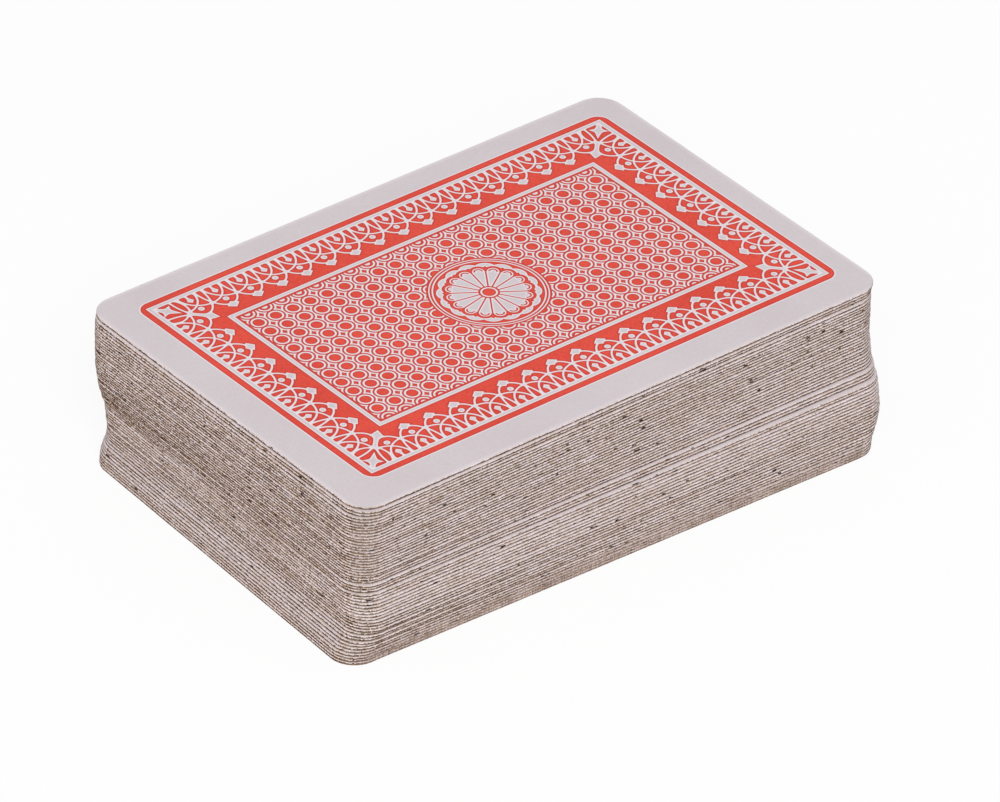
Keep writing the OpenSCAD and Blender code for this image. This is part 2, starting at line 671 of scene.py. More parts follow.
@dataclass(frozen=True)
class CutEdge:
    """Finish of the cut edge: grey-brown board between white papers, with torn fibres and dark specks."""

    name: str
    thickness: float
    straight_half: float
    paper: Colour = paint(218, 207, 211)
    worn_paper: Colour = paint(194, 177, 167)
    board: Colour = paint(182, 158, 140)
    board_dark: Colour = paint(104, 79, 60)
    # Dark band under the white top paper: partly the board's own darker core, partly painted shade under the
    # rounded rim; its near-black dashes are painted shade
    seam_and_shade: Colour = paint(70, 50, 37)
    shade_dash: Colour = paint(28, 19, 13)
    speck: Colour = paint(34, 24, 18)
    aged: Colour = paint(170, 150, 110)
    worn: Colour = paint(140, 122, 112)
    dust: Colour = paint(178, 159, 149)
    dust_dark: Colour = paint(118, 98, 86)
    rim_start: float = 0.64
    seam_and_shade_start: float = 0.36
    blur: float = 0.06
    soil: float = 0.0
    fray: float = 0.8
    round_wear: float = 0.0
    aged_share: float = 0.08
    contrast: float = 0.24
    lift: float = 0.19
    # Where each of these starts and is full, from the end of the long side's straight part
    short_side_reach: Point = (-0.4, 2.0)
    short_flat_reach: Point = (2.1, 2.58)
    round_reach: Point = (0.0, 1.0)
    fibre: Grain = Grain(6.0, 8.0, 17.0, 1.0)
    streak: Grain = Grain(1.3, 5.0, 0.0, 3.0)
    cloud: Grain = Grain(0.4, 1.0, 29.0, 2.0)
    rubbing: Grain = Grain(0.06, 0.0, 83.0, 0.0)
    # How far a rim strays in shares of the thickness, and how much further where it is frayed
    fibre_stray: Point = (0.56, 0.7)
    streak_stray: Point = (0.4, 0.3)
    rubbed_stray: float = 0.4
    fibre_share: float = 0.7
    light_range: Point = (0.42, 0.58)
    # Noise of the near-black dashes of painted shade in the dark band
    shade_dashes: Grain = Grain(3.6, 1.5, 5.0, 2.0)
    dash_range: Point = (0.47, 0.57)
    nicks: Grain = Grain(4.5, 0.8, 71.0, 1.0)
    nick_range: Point = (0.69, 0.72)
    nick_share: float = 0.8
    frayed_nicks: float = 0.05
    flecks: Grain = Grain(1.0, 3.0, 47.0, 1.0)
    fleck_range: Point = (0.685, 0.715)
    fewer_flecks: float = 0.015
    pores: Grain = Grain(6.0, 5.0, 61.0, 1.0)
    pore_range: Point = (0.58, 0.66)
    pore_share: float = 0.6
    roughness: float = 0.75
    fibre_roughness: float = 0.2
    gloss: float = 0.2
    relief: float = 0.03 * MM

    def reach(self, sheet: NodeSheet, along: Value, span: Point) -> Value:
        """Smooth step from 0 to 1 over a span past the end of the long side's straight part."""
        return sheet.rise(abs(along), self.straight_half + span[0], self.straight_half + span[1])

    def material(self) -> bpy.types.Material:
        """Make the material.

        Returns:
            The material.
        """
        made = bpy.data.materials.new(self.name)
        sheet = NodeSheet(made)
        spot = sheet.place()
        seed = sheet.own_seed()
        short_side = self.reach(sheet, spot[0], self.short_side_reach)
        short_flat = self.reach(sheet, spot[0], self.short_flat_reach)
        on_round = self.reach(sheet, spot[0], self.round_reach) * (1.0 - short_flat)
        fray = short_side * self.fray
        fibre = sheet.noise(spot, self.fibre, seed)
        streak = sheet.noise(spot, self.streak, seed)
        cloud = sheet.noise(spot, self.cloud, seed)
        stray = (
            (fibre - 0.5) * (self.fibre_stray[0] + fray * self.fibre_stray[1])
            + (streak - 0.5) * (self.streak_stray[0] + fray * self.streak_stray[1])
            + (sheet.noise(spot, self.rubbing, seed) - 0.5) * self.rubbed_stray
        )
        height = spot[2] / self.thickness + stray
        light = sheet.rise(fibre * self.fibre_share + cloud * (1 - self.fibre_share), *self.light_range)
        board = sheet.mix(light, self.board_dark, self.board)
        # Above its start the board turns to the dark band: partly the board's darker core, partly painted
        # shade, broken by near-black dashes of painted shade
        shade_dashes = sheet.rise(sheet.noise(spot, self.shade_dashes, seed), *self.dash_range)
        in_seam_and_shade = sheet.rise(height, self.seam_and_shade_start - self.blur, self.seam_and_shade_start + self.blur)
        with_seam_and_shade = sheet.mix(in_seam_and_shade, board, sheet.mix(shade_dashes, self.seam_and_shade, self.shade_dash))
        on_rim = sheet.rise(height, self.rim_start - self.blur, self.rim_start + self.blur)
        torn = sheet.noise(spot, self.nicks, seed) + fray * self.frayed_nicks
        nicks = sheet.rise(torn, *self.nick_range) * self.nick_share
        rimmed = sheet.mix(largest(on_rim, nicks), with_seam_and_shade, sheet.mix(light, self.worn_paper, self.paper))
        dusty = (1.0 - short_side) * self.soil
        soiled = sheet.mix(dusty, rimmed, sheet.mix(light, self.dust_dark, self.dust))
        aged = sheet.mix(short_side * self.aged_share, soiled, self.aged)
        worn = sheet.mix(on_round * self.round_wear, aged, self.worn)
        contrast = short_flat * self.contrast
        levels = {"Color": worn, "Bright": contrast * self.lift, "Contrast": contrast}
        edge = sheet.node("ShaderNodeBrightContrast", None, levels).outputs[0]
        flecks = sheet.noise(spot, self.flecks, seed) - short_side * self.fewer_flecks
        pores = sheet.rise(sheet.noise(spot, self.pores, seed), *self.pore_range) * fray
        specks = largest(sheet.rise(flecks, *self.fleck_range), pores * self.pore_share)
        sheet.surface({
            "Base Color": sheet.mix(specks, edge, self.speck),
            "Roughness": self.roughness + fibre * self.fibre_roughness,
            "Specular IOR Level": self.gloss,
            "Normal": sheet.bump(fibre + streak, self.relief),
        })
        return made


@dataclass(frozen=True)
class FaceFinish:
    """Finish of the card's face: bare lilac-white paper, or paper under one flat ink."""

    name: str
    light: Colour = paint(214, 206, 209)
    shade: Colour = paint(207, 198, 201)
    grain_share: float = 0.4
    tone_range: Point = (0.3, 0.7)
    roughness: float = 0.6
    grain_roughness: float = 0.08

    def material(self) -> bpy.types.Material:
        """Make the material.

        Returns:
            The material.
        """
        made = bpy.data.materials.new(self.name)
        sheet = NodeSheet(made)
        spot = sheet.place()
        seed = sheet.own_seed()
        grain = sheet.noise(spot, PAPER_GRAIN, seed)
        cloud = sheet.noise(spot, PAPER_CLOUD, seed)
        tone = sheet.rise(grain * self.grain_share + cloud * (1 - self.grain_share), *self.tone_range)
        sheet.surface({
            "Base Color": sheet.mix(tone, self.shade, self.light),
            "Roughness": self.roughness + grain * self.grain_roughness,
            "Specular IOR Level": PAPER_GLOSS,
            "Normal": sheet.bump(grain, PAPER_RELIEF),
        })
        return made


class Ink(Enum):
    """What a patch of a face is printed with. The value is the number of its material on the card."""

    PAPER = 2
    RED = 3
    BLACK = 4


class Suit(Enum):
    """The four suits."""

    SPADES = "spades"
    DIAMONDS = "diamonds"
    CLUBS = "clubs"
    HEARTS = "hearts"

    @property
    def ink(self) -> Ink:
        """Ink that the suit is printed in."""
        return Ink.RED if self in (Suit.DIAMONDS, Suit.HEARTS) else Ink.BLACK


CORNER_PIPS = ((-1, 1), (1, 1), (-1, -1), (1, -1))
SIDE_PIPS = ((-1, 0), (1, 0))
INNER_PIPS = ((-1, 1 / 3), (1, 1 / 3), (-1, -1 / 3), (1, -1 / 3))


class Rank(Enum):
    """The thirteen ranks: the index, then the places of the pips in shares of their column and row."""

    ACE = ("A", ((0, 0),))
    TWO = ("2", ((0, 1), (0, -1)))
    THREE = ("3", ((0, 1), (0, 0), (0, -1)))
    FOUR = ("4", CORNER_PIPS)
    FIVE = ("5", CORNER_PIPS + ((0, 0),))
    SIX = ("6", CORNER_PIPS + SIDE_PIPS)
    SEVEN = ("7", CORNER_PIPS + SIDE_PIPS + ((0, 0.5),))
    EIGHT = ("8", CORNER_PIPS + SIDE_PIPS + ((0, 0.5), (0, -0.5)))
    NINE = ("9", CORNER_PIPS + INNER_PIPS + ((0, 0),))
    TEN = ("10", CORNER_PIPS + INNER_PIPS + ((0, 2 / 3), (0, -2 / 3)))
    JACK = ("J", ())
    QUEEN = ("Q", ())
    KING = ("K", ())


def arc(centre: Point, radius: Point, start: float, end: float, steps: int = 16) -> Outline:
    """Points along part of an ellipse.

    Args:
        centre: Its middle.
        radius: Its reach to the right and up.
        start: Where the part starts, in degrees.
        end: Where it ends, in degrees.
        steps: Number of straight steps.

    Returns:
        The points, both ends among them.
    """
    turns = [math.radians(start + (end - start) * step / steps) for step in range(steps + 1)]
    right, up = centre
    wide, tall = radius
    return [(right + wide * math.cos(turn), up + tall * math.sin(turn)) for turn in turns]


def disc(centre: Point, radius: float) -> Outline:
    """Points round a circle."""
    return arc(centre, (radius, radius), 0, 360, 24)[:-1]


def box(low: Point, high: Point) -> Outline:
    """Corners of a rectangle."""
    return [low, (high[0], low[1]), high, (low[0], high[1])]


def mirrored(outline: Outline) -> Outline:
    """The outline with right and left changed over."""
    return [(-right, up) for right, up in outline]


def stroke(path: Outline, thickness: float) -> Outline:
    """Outline of a pen stroke.

    Args:
        path: The pen's path.
        thickness: Thickness of the line.

    Returns:
        The outline, there along the right of the path and back along its left.
    """
    spots = [Vector(spot) for spot in path]
    runs = [(after - before).normalized() for before, after in zip(spots, spots[1:])]
    sides: tuple[Outline, Outline] = ([], [])
    for spot, into, onward in zip(spots, runs[:1] + runs, runs + runs[-1:]):
        ahead = (into + onward).normalized()
        reach = thickness / 2 / max(ahead.dot(into), 0.5)
        aside = Vector((ahead.y, -ahead.x)) * reach
        sides[0].append(tuple(spot + aside))
        sides[1].append(tuple(spot - aside))
    return sides[0] + sides[1][::-1]


PEN = 0.17
GLYPH_MIDDLE = (0.3, 0.5)
# Pen paths of the indices, in a box one unit high that starts at its lower left corner
GLYPHS: dict[str, list[Outline]] = {
    "A": [[(0, 0), (0.32, 1), (0.64, 0)], [(0.12, 0.32), (0.52, 0.32)]],
    "2": [arc((0.3, 0.71), (0.26, 0.26), 165, -40) + [(0.05, 0.04), (0.6, 0.04)]],
    "3": [arc((0.28, 0.74), (0.23, 0.22), 150, -90), arc((0.28, 0.28), (0.27, 0.24), 90, -150)],
    "4": [[(0.46, 0), (0.46, 1)], [(0.46, 0.92), (0.04, 0.3), (0.64, 0.3)]],
    "5": [[(0.54, 0.95), (0.1, 0.95), (0.07, 0.55)], arc((0.28, 0.31), (0.27, 0.27), 130, -150)],
    "6": [arc((0.3, 0.29), (0.25, 0.25), 0, 360), arc((0.6, 0.32), (0.55, 0.66), 180, 105)],
    "7": [[(0.02, 0.93), (0.56, 0.93), (0.2, 0)]],
    "8": [arc((0.3, 0.73), (0.2, 0.2), 0, 360), arc((0.3, 0.27), (0.25, 0.25), 0, 360)],
    "9": [arc((0.3, 0.71), (0.25, 0.25), 0, 360), arc((0, 0.68), (0.55, 0.66), 0, -75)],
    "10": [[(0.04, 0), (0.04, 1)], arc((0.48, 0.5), (0.2, 0.44), 0, 360, 24)],
    "J": [[(0.46, 1)] + arc((0.25, 0.27), (0.21, 0.21), 0, -170)],
    "Q": [arc((0.3, 0.5), (0.25, 0.44), 0, 360, 24), [(0.34, 0.24), (0.6, -0.04)]],
    "K": [[(0.09, 0), (0.09, 1)], [(0.58, 1), (0.12, 0.42)], [(0.26, 0.6), (0.6, 0)]],
}


def pen_marks(path: Outline) -> list[Mark]:
    """What the pen leaves on one path of an index.

    Args:
        path: The pen's path.

    Returns:
        One stroke, or an inked disc and a bare disc in it if the path is closed.
    """
    mark = stroke(path, PEN)
    if math.dist(path[0], path[-1]) > PEN / 10:
        return [(mark, True)]
    half = len(mark) // 2
    return [(mark[:half - 1], True), (mark[half:-1], False)]


def stem(top: float, foot: float, slim: float, wide: float) -> Outline:
    """Outline of a pip's flared stem.

    Args:
        top: Height of its top.
        foot: Height of its foot.
        slim: Half its width at the top.
        wide: Half its width at the foot.

    Returns:
        The outline.
    """
    shares = [step / 8 for step in range(9)]
    right = [(slim + (wide - slim) * share ** 3, top + (foot - top) * share) for share in shares]
    return mirrored(right) + right[::-1]


def heart() -> Outline:
    """Draw a heart.

    Returns:
        Its outline, one unit high.
    """
    spots = []
    for step in range(40):
        turn = 2 * math.pi * step / 40
        lobes = 13 * math.cos(turn) - 5 * math.cos(2 * turn) - 2 * math.cos(3 * turn) - math.cos(4 * turn)
        spots.append((-16 / 31 * math.sin(turn) ** 3, (lobes + 2.5) / 29))
    return spots


def diamond(half_width: float = 0.38, half_height: float = 0.5, bend: float = 2.25) -> Outline:
    """Draw a diamond.

    Args:
        half_width: Half its width.
        half_height: Half its height.
        bend: 2 for straight sides, more for hollow ones and less for full ones.

    Returns:
        Its outline.
    """
    def bent(share: float) -> float:
        """Bend one part of a circle's point towards the middle."""
        return math.copysign(abs(share) ** bend, share)

    return [(half_width * bent(right), half_height * bent(up)) for right, up in disc((0, 0), 1.0)]


def pip(suit: Suit) -> list[Outline]:
    """Draw a suit's pip.

    Args:
        suit: The suit.

    Returns:
        The outlines that make it up, one unit high about its middle.
    """
    if suit is Suit.HEARTS:
        return [heart()]
    if suit is Suit.DIAMONDS:
        return [diamond()]
    if suit is Suit.SPADES:
        body = [(0.92 * right, 0.12 - 0.76 * up) for right, up in heart()]
        return [body, stem(-0.02, -0.5, 0.035, 0.19)]
    lobes = [disc(centre, 0.225) for centre in ((0, 0.265), (0.25, -0.06), (-0.25, -0.06))]
    return lobes + [disc((0, 0.08), 0.13), stem(0.05, -0.5, 0.035, 0.19)]


def star() -> Outline:
    """Draw a five-pointed star.

    Returns:
        Its outline, one unit high.
    """
    reach = (0.52, 0.21)
    turns = [math.radians(90 + 36 * number) for number in range(10)]
    return [(reach[n % 2] * math.cos(turn), reach[n % 2] * math.sin(turn)) for n, turn in enumerate(turns)]


def band_and_crown(points: Outline, knobs: Outline, knob: float) -> list[Mark]:
    """A crown one unit wide.

    Args:
        points: Outline of what stands on its band.
        knobs: Middles of the round knobs on it.
        knob: Their radius.

    Returns:
        Each outline, and whether it is inked or left bare.
    """
    jewel = diamond(0.05, 0.06, 1.0)
    bare = [[(right + place, up - 0.31) for right, up in jewel] for place in (-0.26, 0.0, 0.26)]
    inked = [box((-0.42, -0.4), (0.42, -0.22)), points] + [disc(spot, knob) for spot in knobs]
    return [(outline, True) for outline in inked] + [(outline, False) for outline in bare]


def emblem(rank: Rank) -> list[Mark]:
    """Emblem of a court card, one unit wide: a crown, a coronet or a plumed cap.

    Args:
        rank: The court card's rank.

    Returns:
        Each outline, and whether it is inked or left bare.
    """
    if rank is Rank.KING:
        tips = [(0.5, 0.26), (0.22, -0.02), (0.0, 0.38), (-0.22, -0.02), (-0.5, 0.26)]
        return band_and_crown([(-0.42, -0.19), (0.42, -0.19)] + tips, tips[::2], 0.055)
    if rank is Rank.QUEEN:
        knobs = arc((0, -0.1), (0.44, 0.38), 20, 160, 4)
        fan = [(-0.42, -0.19), (0.42, -0.19), (0.36, -0.02), (0.0, 0.06), (-0.36, -0.02)]
        rays = [(stroke([(right * 0.7, -0.05), (right, up)], 0.05), True) for right, up in knobs]
        return band_and_crown(fan, knobs, 0.085) + rays
    cap = arc((-0.06, -0.14), (0.34, 0.3), 0, 180)
    brim = box((-0.48, -0.28), (0.42, -0.16))
    plume = arc((0.5, 0.02), (0.42, 0.44), 180, 95) + arc((0.22, 0.32), (0.26, 0.28), 25, -110)
    return [(cap, True), (brim, True), (plume, True), (box((-0.36, -0.12), (0.24, -0.08)), False)]


def jester_cap() -> list[Mark]:
    """Emblem of a joker, one unit wide: a cap with three horns and bells.

    Returns:
        Each outline, and whether it is inked or left bare.
    """
    horn = arc((0.2, -0.08), (0.26, 0.26), 150, 0) + arc((0.3, -0.08), (0.13, 0.13), 0, 180)
    middle = [(-0.17, -0.12), (0.17, -0.12), (0.06, 0.12), (0.0, 0.44), (-0.06, 0.12)]
    bells = [disc(spot, 0.06) for spot in ((0.45, -0.13), (-0.45, -0.13), (0.0, 0.46))]
    collar_half = [(0.16, -0.28), (0.28, -0.4), (0.32, -0.12)]
    collar = mirrored(collar_half)[::-1] + [(0, -0.44)] + collar_half
    inked = [horn, mirrored(horn), middle, collar] + bells
    return [(outline, True) for outline in inked] + [(box((-0.3, -0.17), (0.3, -0.13)), False)]


@dataclass
class FaceArt:
    """Print of one face, as it is held upright. Lengths are in millimetres, right and up from its middle."""

    index_place: Point = (16.2, 24.4)
    index_height: float = 4.6
    index_pip_drop: float = 5.4
    index_pip: float = 3.6
    column: float = 7.6
    row: float = 18.6
    pip_height: float = 7.4
    ace_height: float = 17.0
    court_half: Point = (12.0, 23.6)
    court_insets: tuple[float, ...] = (0.0, 0.455, 0.7, 1.365)
    court_pip: float = 5.0
    court_pip_inset: Point = (4.0, 4.4)
    emblem_place: Point = (1.6, 12.2)
    emblem_width: float = 12.5
    sash_end: Point = (9.9, 3.6)
    sash_width: float = 3.0
    sash_bare_width: float = 2.2
    sash_diamond: float = 1.7
    sash_half_count: int = 4
    joker_width: float = 21.0
    patches: list[tuple[Outline, Ink]] = field(default_factory=list)

    def add(self, outline: Outline, ink: Ink, centre: Point = (0.0, 0.0), size: float = 1.0) -> None:
        """Print a patch.

        Args:
            outline: Its outline about its own middle.
            ink: What it is printed with.
            centre: Where its middle goes.
            size: Its scale, below 0 for a patch that stands on its head.
        """
        spots = [(centre[0] + right * size, centre[1] + up * size) for right, up in outline]
        ring = zip(spots, spots[1:] + spots[:1])
        turned = math.fsum(here[0] * there[1] - there[0] * here[1] for here, there in ring)
        self.patches.append((spots if turned > 0 else spots[::-1], ink))

    def twice(self, outline: Outline, ink: Ink, centre: Point, size: float) -> None:
        """Print a patch, and again on its head at the other end of the card."""
        self.add(outline, ink, centre, size)
        self.add(outline, ink, (-centre[0], -centre[1]), -size)

    def index(self, glyph: list[Mark], below: list[Outline], ink: Ink) -> None:
        """Print the corner index.

        Args:
            glyph: Marks of the glyph.
            below: Outlines of the pip below it.
            ink: What both are printed with.
        """
        right, up = -self.index_place[0], self.index_place[1]
        for outline, inked in glyph:
            self.twice(outline, ink if inked else Ink.PAPER, (right, up), self.index_height)
        for outline in below:
            self.twice(outline, ink, (right, up - self.index_pip_drop), self.index_pip)

    def court(self, rank: Rank, suit: Suit) -> None:
        """Print a court card: a framed panel, cut by a sash, with an emblem and a pip at each end.

        Args:
            rank: The card's rank.
            suit: The card's suit.
        """
        wide, high = self.court_half
        for inset, ink in zip(self.court_insets, (suit.ink, Ink.PAPER) * 2):
            self.add(box((inset - wide, inset - high), (wide - inset, high - inset)), ink)
        right, up = self.sash_end
        self.add(stroke([(-right, -up), (right, up)], self.sash_width), suit.ink)
        self.add(stroke([(-right, -up), (right, up)], self.sash_bare_width), Ink.PAPER)
        for step in range(-self.sash_half_count, self.sash_half_count + 1):
            share = step / (self.sash_half_count + 1)
            self.add(diamond(), suit.ink, (right * share, up * share), self.sash_diamond)
        for outline, inked in emblem(rank):
            self.twice(outline, suit.ink if inked else Ink.PAPER, self.emblem_place, self.emblem_width)
        corner = (self.court_pip_inset[0] - wide, high - self.court_pip_inset[1])
        for outline in pip(suit):
            self.twice(outline, suit.ink, corner, self.court_pip)

    def card(self, rank: Rank, suit: Suit) -> None:
        """Print a card of a suit.

        Args:
            rank: The card's rank.
            suit: The card's suit.
        """
        letter, places = rank.value
        middle_x, middle_y = GLYPH_MIDDLE
        marks = [mark for path in GLYPHS[letter] for mark in pen_marks(path)]
        glyph = [([(x - middle_x, y - middle_y) for x, y in outline], inked) for outline, inked in marks]
        self.index(glyph, pip(suit), suit.ink)
        height = self.ace_height if rank is Rank.ACE else self.pip_height
        for right, up in places:
            size = -height if up < 0 else height
            for outline in pip(suit):
                self.add(outline, suit.ink, (right * self.column, up * self.row), size)
        if not places:
            self.court(rank, suit)

    def joker(self, ink: Ink) -> None:
        """Print a joker.

        Args:
            ink: What it is printed with.
        """
        self.index([(star(), True)], [], ink)
        for outline, inked in jester_cap():
            self.add(outline, ink if inked else Ink.PAPER, (0.0, 0.0), self.joker_width)

    @classmethod
    def of(cls, name: str) -> "FaceArt":
        """Print the face that a card's name tells of.

        Args:
            name: Name such as two_of_hearts or red_joker.

        Returns:
            The printed face.
        """
        made = cls()
        if name.endswith("joker"):
            made.joker(Ink[name.split("_")[0].upper()])
        else:
            rank, suit = name.split("_of_")
            made.card(Rank[rank.upper()], Suit(suit))
        return made


@dataclass(frozen=True)
class CardSeat:
    """Where one card lies in the pack and how large it is, read from its CAD node. Lengths are in metres."""

    name: str
    centre: Vector
    turn: float
    length: float
    width: float
    thickness: float
    corner_round: float

    @classmethod
    def of(cls, node: bpy.types.Object) -> "CardSeat":
        """Read a card from its node.

        Args:
            node: The card's CAD object.

        Returns:
            The card's seat.
        """
        mesh = node.data
        low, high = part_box(node.name)
        sides = [face for face in mesh.polygons if abs(face.normal.z) < 0.5]
        long_side = max(sides, key=lambda face: face.area)
        facing = long_side.normal if long_side.normal.y > 0 else -long_side.normal
        turn = math.atan2(-facing.x, facing.y)
        back = Matrix.Rotation(-turn, 3, "Z")
        flat = [back @ vertex.co for vertex in mesh.vertices]
        size = [max(spot[axis] for spot in flat) - min(spot[axis] for spot in flat) for axis in range(3)]
        ends = [flat[index].x for index in long_side.vertices]
        centre = (low + high) / 2
        centre.z = low.z
        straight = max(ends) - min(ends)
        return cls(node.name, centre, turn, *size, (size[0] - straight) / 2)

    def matrix(self) -> Matrix:
        """Place of the card, with its origin in the middle of its underside."""
        return Matrix.Translation(self.centre) @ Matrix.Rotation(self.turn, 4, "Z")


@dataclass(frozen=True)
class EdgeRing:
    """One ring of points round a card: its height, how far it is set in, and how ragged it is. In metres."""

    height: float
    inset: float
    ragged: float


@dataclass
class Card:
    """One card: a closed mesh with printed back and face and a slightly ragged edge. Lengths in metres."""

    seat: CardSeat
    seed: int
    edge_step: float = 0.0005
    corner_steps: int = 14
    rim_round: float = 0.00006
    rim_steps: int = 3
    foot_round: float = 0.00004
    foot_bend: Point = (0.3, 0.6)
    edge_levels: Point = (0.35, 0.6)
    ragged: float = 0.000018
    wander: float = 0.000012
    waves: int = 4
    wave_rates: Point = (80.0, 900.0)
    # Shares of the bake map: its width that a card takes, and the heights of its back, face and edges
    map_share: float = 0.98
    map_back: Point = (0.54, 1.0)
    map_face: Point = (0.08, 0.54)
    map_edge: float = 0.02
    map_gap: float = 0.1

    def quarters(self) -> list[list[tuple[Vector, Vector]]]:
        """Walk round the card's outline, from the front side anticlockwise.

        Returns:
            For each side with the corner after it, the points and the directions that lead outward there.
        """
        bend = self.seat.corner_round
        half = (self.seat.length / 2 - bend, self.seat.width / 2 - bend)
        walked = []
        for quarter in range(4):
            run = 2 * half[quarter % 2]
            steps = round(run / self.edge_step)
            out = Matrix.Rotation(math.radians(90 * quarter - 90), 2) @ Vector((1, 0))
            ahead = Vector((-out.y, out.x))
            middle = out * (half[(quarter + 1) % 2] + bend)
            pivot = middle + ahead * (run / 2) - out * bend
            spots = [(middle + ahead * (run * (step / steps - 0.5)), out) for step in range(steps)]
            for step in range(self.corner_steps):
                aim = Matrix.Rotation(math.radians(90 * step / self.corner_steps), 2) @ out
                spots.append((pivot + aim * bend, aim))
            walked.append(spots)
        return walked

    def rings(self) -> list[EdgeRing]:
        """Set out the rings of the cut edge.

        Returns:
            The rings, from the face up to the back.
        """
        thick = self.seat.thickness
        foot = self.foot_round
        rings = [
            EdgeRing(0.0, foot, 0.0),
            EdgeRing(foot * self.foot_bend[1], foot * self.foot_bend[0], self.ragged),
        ]
        rings += [EdgeRing(thick * level, 0.0, self.ragged) for level in self.edge_levels]
        for step in range(self.rim_steps + 1):
            aim = math.pi / 2 * step / self.rim_steps
            height = thick - self.rim_round * (1 - math.sin(aim))
            inset = self.rim_round * (1 - math.cos(aim))
            rings.append(EdgeRing(height, inset, self.ragged * math.cos(aim) / 2))
        return rings

    def ring_points(self, outline: list[tuple[Vector, Vector]]) -> list[Vector]:
        """Place the points of all rings, each ring a little ragged and each card with a wander of its own.

        Args:
            outline: Points round the card, each with the direction that leads outward there.

        Returns:
            The points, ring by ring from the face up.
        """
        draw = random.Random(self.seed)
        full = 2 * math.pi
        waves = [(draw.uniform(*self.wave_rates), draw.uniform(0, full)) for _ in range(self.waves)]
        drift = []
        for spot, _ in outline:
            sway = math.fsum(math.sin(rate * (spot.x + spot.y) + phase) for rate, phase in waves)
            drift.append(self.wander * (1 + sway / self.waves))
        points = []
        for ring in self.rings():
            for (spot, out), stray in zip(outline, drift):
                inset = ring.inset + stray + draw.uniform(0, 2) * ring.ragged
                points.append((spot - out * inset).to_3d() + Vector((0, 0, ring.height)))
        return points

    def face_tiles(self, rim: list[Vector], points: list[Vector]) -> list[tuple[tuple[int, ...], Ink]]:
        """Cut the face along its print.

        Args:
            rim: Points round the face, which are the first ones of the mesh.
            points: Points of the mesh, which the new ones are added to.

        Returns:
            The triangles, each with its ink.
        """
        patches = FaceArt.of(self.seat.name).patches
        spots = [Vector((spot.y, spot.x)) / MM for spot in reversed(rim)]
        loops = [list(range(len(rim)))]
        for outline, _ in patches:
            loops.append(list(range(len(spots), len(spots) + len(outline))))
            spots.extend(Vector(spot) for spot in outline)
        inks = [Ink.PAPER] + [ink for _, ink in patches]
        placed, _, tiles, sources, _, owners = delaunay_2d_cdt(spots, [], loops, 1, 1e-5)
        numbers = []
        for spot, source in zip(placed, sources):
            if source and source[0] < len(rim):
                numbers.append(len(rim) - 1 - source[0])
            else:
                numbers.append(len(points))
                points.append(Vector((spot.y * MM, spot.x * MM, 0.0)))
        return [(tuple(numbers[i] for i in tile), inks[max(owner)]) for tile, owner in zip(tiles, owners)]

    def map_spot(self, point: Vector, heights: Point) -> Point:
        """Find a point of the back or the face on the bake map.

        Args:
            point: The point.
            heights: Heights of the map that its side of the card lies between.

        Returns:
            The place on the map.
        """
        low, high = heights
        along = 0.5 + point.x / self.seat.length * self.map_share
        across = 0.5 + point.y / self.seat.width * self.map_share
        return along, low + (high - low) * across

    def mesh(self) -> bpy.types.Mesh:
        """Build the closed mesh.

        Returns:
            The mesh, where material 0 is the back, 1 the cut edge and the rest the face.
        """
        quarters = self.quarters()
        outline = [spot for quarter in quarters for spot in quarter]
        count = len(outline)
        points = self.ring_points(outline)
        ring_count = len(points) // count
        back = tuple(range((ring_count - 1) * count, ring_count * count))
        faces = [back]
        slots = [0]
        spots = [self.map_spot(points[corner], self.map_back) for corner in back]
        for tile, ink in self.face_tiles(points[:count], points):
            faces.append(tile)
            slots.append(ink.value)
            spots.extend(self.map_spot(points[corner], self.map_face) for corner in tile)
        clear = 1 - 2 * self.map_gap
        start = 0
        for row, quarter in enumerate(quarters):
            for step in range(len(quarter)):
                shares = [(step + more) / len(quarter) for more in (0, 1, 1, 0)]
                low = start + step
                side = (low + 1) % count
                for ring in range(ring_count - 1):
                    lift = ring * count
                    faces.append((low + lift, side + lift, side + lift + count, low + lift + count))
                    slots.append(1)
                    ups = [(ring + more) / (ring_count - 1) for more in (0, 0, 1, 1)]
                    heights = [self.map_edge * (row + self.map_gap + clear * up) for up in ups]
                    spots.extend(zip(shares, heights))
            start += len(quarter)
        made = bpy.data.meshes.new(f"printed_{self.seat.name}")
        made.from_pydata([tuple(point) for point in points], [], faces)
        made.polygons.foreach_set("material_index", slots)
        made.polygons.foreach_set("use_smooth", [slot == 1 for slot in slots])
        bake_map = made.uv_layers.new(name=BAKE_MAP)
        bake_map.uv.foreach_set("vector", [part for spot in spots for part in spot])
        made.update()
        return made

    def build(self, finishes: list[bpy.types.Material]) -> bpy.types.Object:
        """Make the card where it lies, in place of its CAD node.

        Args:
            finishes: Materials of the back, the cut edge, the bare face and its two inks.

        Returns:
            The card's object.
        """
        mesh = self.mesh()
        for finish in finishes:
            mesh.materials.append(finish)
        made = bpy.data.objects.new(mesh.name, mesh)
        bpy.context.scene.collection.objects.link(made)
        made.matrix_world = self.seat.matrix()
        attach(made, self.seat.name)
        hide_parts(self.seat.name)
        return made


